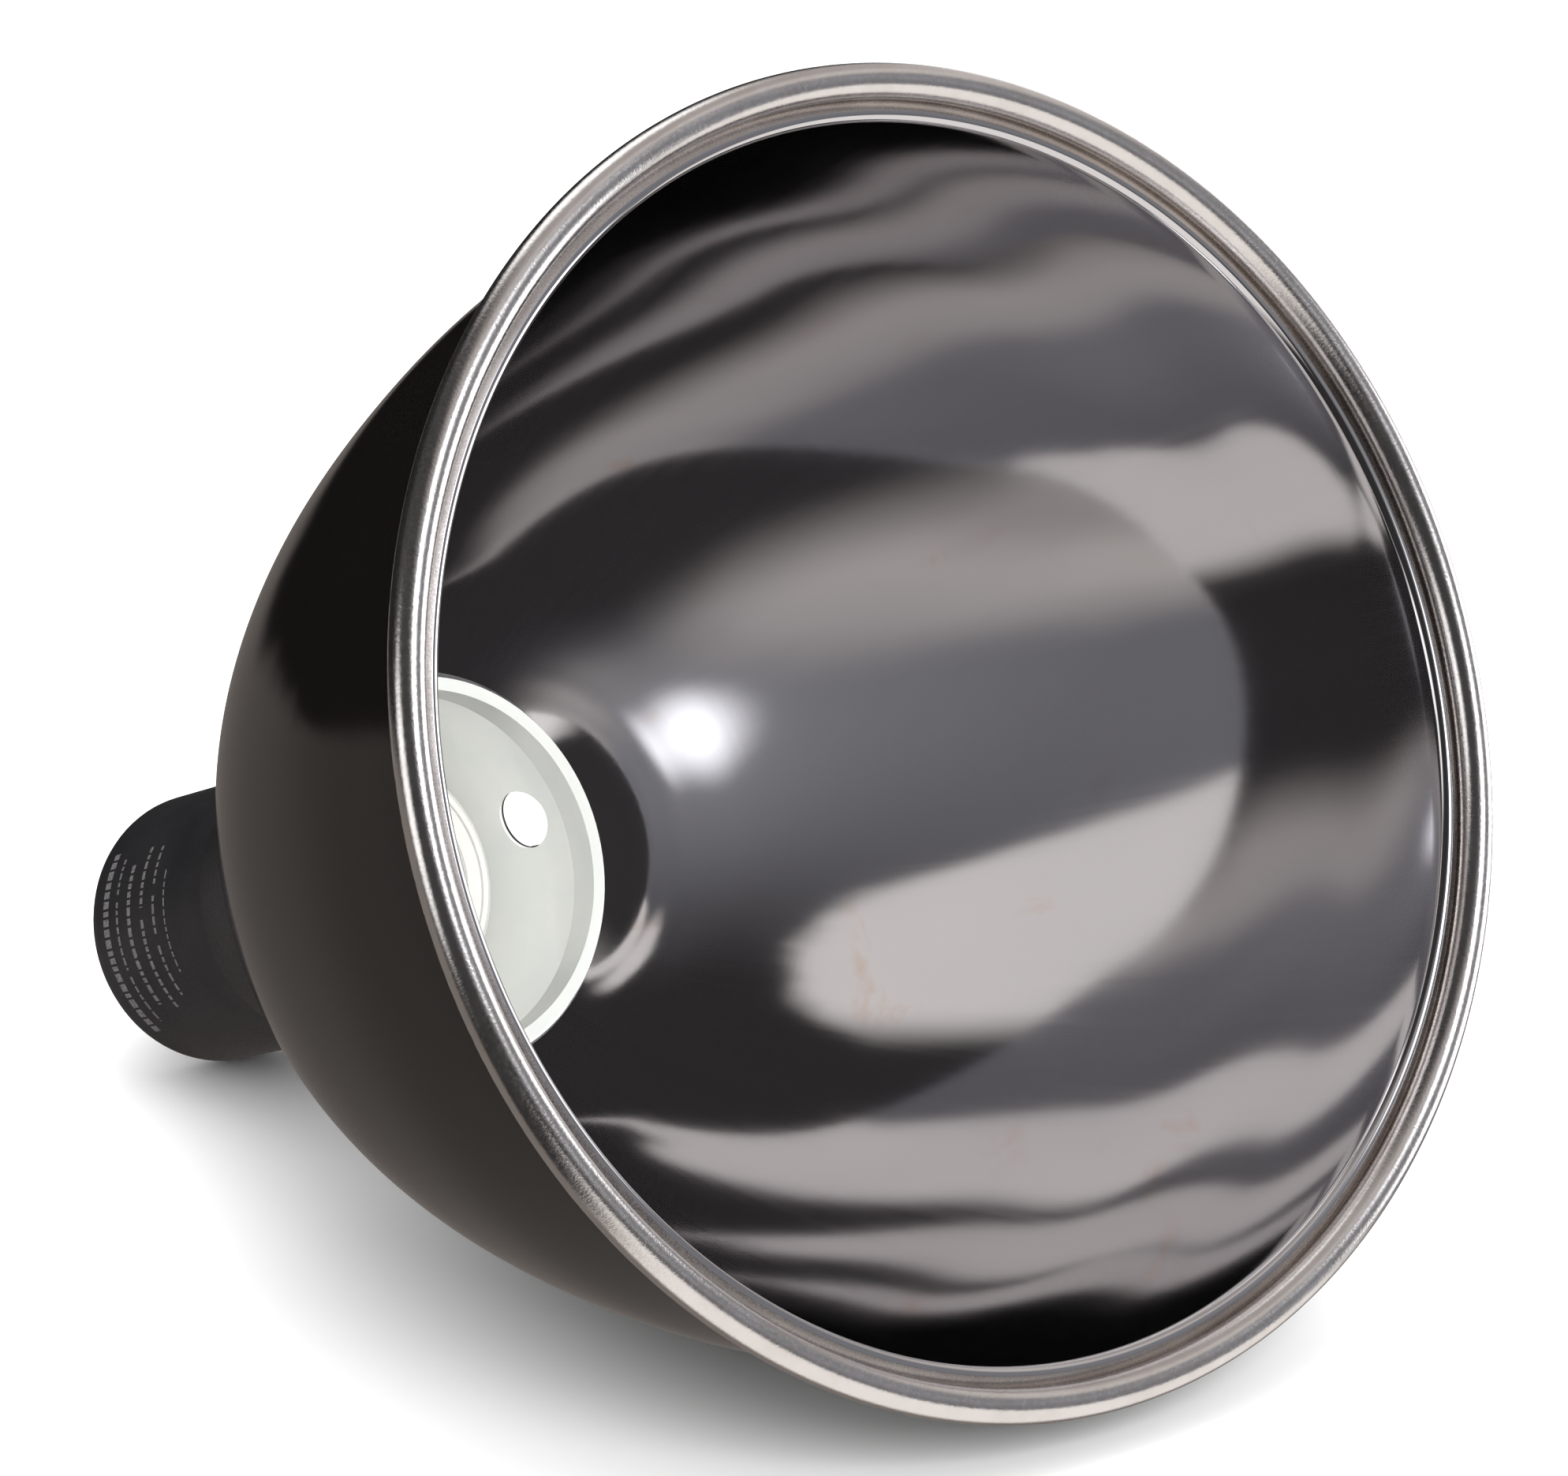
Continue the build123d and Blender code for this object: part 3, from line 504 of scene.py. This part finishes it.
def build_screw_shell():
    """Pressed E27 thread: the sheet follows a rounded screw line of 3.63 mm pitch."""
    pitch, depth_of_thread, wall = 3.63, 0.95, 0.4
    around, along = 96, 90
    vertices = []
    for side in (0.0, wall):
        for i in range(along + 1):
            depth = SHELL_FRONT + (SHELL_BACK - SHELL_FRONT) * i / along
            for s in range(around):
                angle = 2 * math.pi * s / around
                wave = 0.5 + 0.5 * math.cos(2 * math.pi * (depth - SHELL_FRONT) / pitch - angle)
                r = SHELL_R - depth_of_thread * wave + side
                vertices.append(at(angle, r, depth))
    sheet = (along + 1) * around
    faces = []
    for base in (0, sheet):
        for i in range(along):
            for s in range(around):
                a, b = base + i * around + s, base + i * around + (s + 1) % around
                faces.append((a, b, b + around, a + around))
    for i in (0, along):
        for s in range(around):
            a, b = i * around + s, i * around + (s + 1) % around
            faces.append((a, b, b + sheet, a + sheet))
    piece = mesh_object("threaded_shell", vertices, faces, HEAD, [NICKEL])
    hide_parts("screw_shell")


# ---------------------------------------------------------------- printed bars on the housing
def build_print():
    """Plain printed bars in place of the maker's marking, each broken into short worn dashes."""
    ink_lift, dash_steps, gap = 0.03, 5, 1.1
    # depth, height along the housing, and each bar's first and last angle in degrees
    rows = [
        (231.6, 1.9, [(138, 222)]),
        (227.6, 0.7, [(142, 158), (161, 190), (193, 216)]),
        (223.4, 1.2, [(146, 208)]),
        (218.8, 1.0, [(139, 166), (171, 211)]),
        (214.6, 0.8, [(140, 158), (162, 178), (183, 206)]),
        (210.8, 0.5, [(152, 196)]),
    ]
    vertices = []
    faces = []
    for depth, height, bars in rows:
        for first, last in bars:
            angle = first
            while angle < last:
                stop = min(angle + random.uniform(1.8, 4.2), last)
                start = len(vertices)
                for k in range(dash_steps + 1):
                    turn = math.radians(angle + (stop - angle) * k / dash_steps)
                    for edge in (-0.5, 0.5):
                        vertices.append(at(turn, CAP_R + ink_lift, depth + edge * height))
                for k in range(dash_steps):
                    a = start + 2 * k
                    faces.append((a, a + 1, a + 3, a + 2))
                angle = stop + gap
    piece = mesh_object("print_bars", vertices, faces, HEAD, [INK])


build_reflector()
build_screw_shell()
build_print()


# ---------------------------------------------------------------- floor, lights, world and camera
def build_floor():
    near, far, wide = -2.0, 8.0, 5.0
    mesh = bpy.data.meshes.new("floor")
    mesh.from_pydata([(-wide, near, 0), (wide, near, 0), (wide, far, 0), (-wide, far, 0)], [], [(0, 1, 2, 3)])
    mesh.materials.append(pale_floor())
    floor = bpy.data.objects.new("floor", mesh)
    floor.visible_glossy = False
    bpy.context.scene.collection.objects.link(floor)


def softbox(name, place, target, side, power):
    """A square area light that neither the camera nor a reflection sees."""
    light = bpy.data.lights.new(name, "AREA")
    light.shape = "SQUARE"
    light.size = side
    light.energy = power
    lamp = bpy.data.objects.new(name, light)
    lamp.location = place
    lamp.rotation_euler = (Vector(target) - Vector(place)).to_track_quat("-Z", "Y").to_euler()
    lamp.visible_camera = False
    lamp.visible_glossy = False
    bpy.context.scene.collection.objects.link(lamp)


def build_lights():
    softbox("top_light", (0.2, 0.1, 2.0), (0, 0, 0), 1.8, 16)
    softbox("mouth_light", (-0.5, -1.3, 0.75), (0, 0, 0.08), 0.5, 17)


# lamps and boards that the gloss sees: direction along SIDE, UP and OUT, how far from it the glow is
# full and where it ends, and its colour
GLOWS = (
    ((0.24, 0.17, 0.95), 0.10, 0.60, rgb(0.30, 0.30, 0.32)),
    ((0.22, 0.17, 0.95), 0.10, 0.27, rgb(3.4, 3.45, 3.6)),
    ((0.95, -0.12, 0.24), 0.24, 0.36, rgb(2.4, 2.4, 2.45)),
    ((0.85, 0.20, -0.45), 0.25, 0.40, rgb(1.3, 1.3, 1.3)),
    ((-0.95, 0.15, 0.05), 0.22, 0.42, rgb(1.2, 1.2, 1.2)),
    ((0.15, 0.95, -0.15), 0.20, 0.42, rgb(1.3, 1.3, 1.3)),
)


def build_world():
    """The studio: white for the camera and for soft light, and a dim room with pale boards for the gloss."""
    world = bpy.data.worlds.new("studio")
    bpy.context.scene.world = world
    n = Nodes(world)
    toward = n.new("ShaderNodeTexCoord").outputs["Generated"]
    side = n.vector("DOT_PRODUCT", toward, tuple(SIDE))
    up = n.vector("DOT_PRODUCT", toward, tuple(UP))
    out = n.vector("DOT_PRODUCT", toward, tuple(OUT))
    ripple = n.math("MULTIPLY", n.math("SUBTRACT", n.noise(toward, 5.0, 3.0), 0.5), 0.10)
    height = n.math("ADD", up, ripple)

    def glow(direction, inner, outer):
        """1 within the inner distance of a direction, fading to 0 at the outer."""
        away = n.vector("LENGTH", n.vector("SUBTRACT", toward, tuple(direction)))
        return n.remap(away, inner, outer, 1.0, 0.0)

    # in front of the opening: dim on the left, greyer on the right, a warm wall above, a white board below
    front = n.mix(n.remap(side, -0.15, 0.75, 0.0, 1.0), rgb(0.030, 0.028, 0.029), rgb(0.19, 0.19, 0.205))
    wall = n.math("MULTIPLY", n.remap(height, 0.30, 0.56, 0.0, 1.0), n.remap(side, -0.38, 0.12, 0.0, 1.0))
    shade = n.remap(height, 0.62, 0.76, 0.0, 1.0)
    front = n.mix(wall, front, n.mix(shade, rgb(0.54, 0.505, 0.49), rgb(0.37, 0.34, 0.33)))
    slant = n.math("ADD", side, n.math("MULTIPLY", up, -0.9))
    board = n.math("MULTIPLY", n.remap(height, -0.46, -0.51, 0.0, 1.0), n.remap(slant, 0.0, 0.3, 0.0, 1.0))
    front = n.mix(board, front, rgb(0.87, 0.835, 0.815))
    # behind it: a grey board, black above its edge
    below = n.remap(height, 0.23, 0.19, 0.0, 1.0)
    back = n.mix(below, rgb(0.004, 0.004, 0.004), rgb(0.19, 0.168, 0.155))
    room = n.mix(n.remap(out, -0.55, -0.25, 0.0, 1.0), back, front)
    for (s, u, o), inner, outer, color in GLOWS:
        direction = (SIDE * s + UP * u + OUT * o).normalized()
        room = n.mix(glow(direction, inner, outer), room, color)
    path = n.new("ShaderNodeLightPath")
    glossy = path.outputs["Is Glossy Ray"]
    soft = n.mix(path.outputs["Is Camera Ray"], rgb(1.5, 1.5, 1.5), rgb(1, 1, 1))
    n.put(n.tree.nodes["Background"].inputs["Color"], n.mix(glossy, soft, room))


def build_camera():
    """The photograph's view: a long lens, left of the opening and a little above it."""
    image_width, focal_length = 1988, 8000
    sensor = 36
    azimuth, elevation = math.radians(-38.77), math.radians(15.85)
    aside, below, away = 0.0313, 0.0009, 0.9838
    back = Vector((math.sin(azimuth) * math.cos(elevation), -math.cos(azimuth) * math.cos(elevation),
                   math.sin(elevation)))
    right = Vector((math.cos(azimuth), math.sin(azimuth), 0))
    up = back.cross(right)
    camera = bpy.data.cameras.new("camera")
    camera.sensor_fit = "HORIZONTAL"
    camera.sensor_width = sensor
    camera.lens = sensor * focal_length / image_width
    camera.clip_end = 50
    holder = bpy.data.objects.new("camera", camera)
    bpy.context.scene.collection.objects.link(holder)
    spot = RIM - right * aside - up * below + back * away
    turn = Matrix((right, up, back)).transposed().to_4x4()
    holder.matrix_world = Matrix.Translation(spot) @ turn
    bpy.context.scene.camera = holder


build_floor()
build_lights()
build_world()
build_camera()
bpy.context.scene.view_settings.view_transform = "Standard"
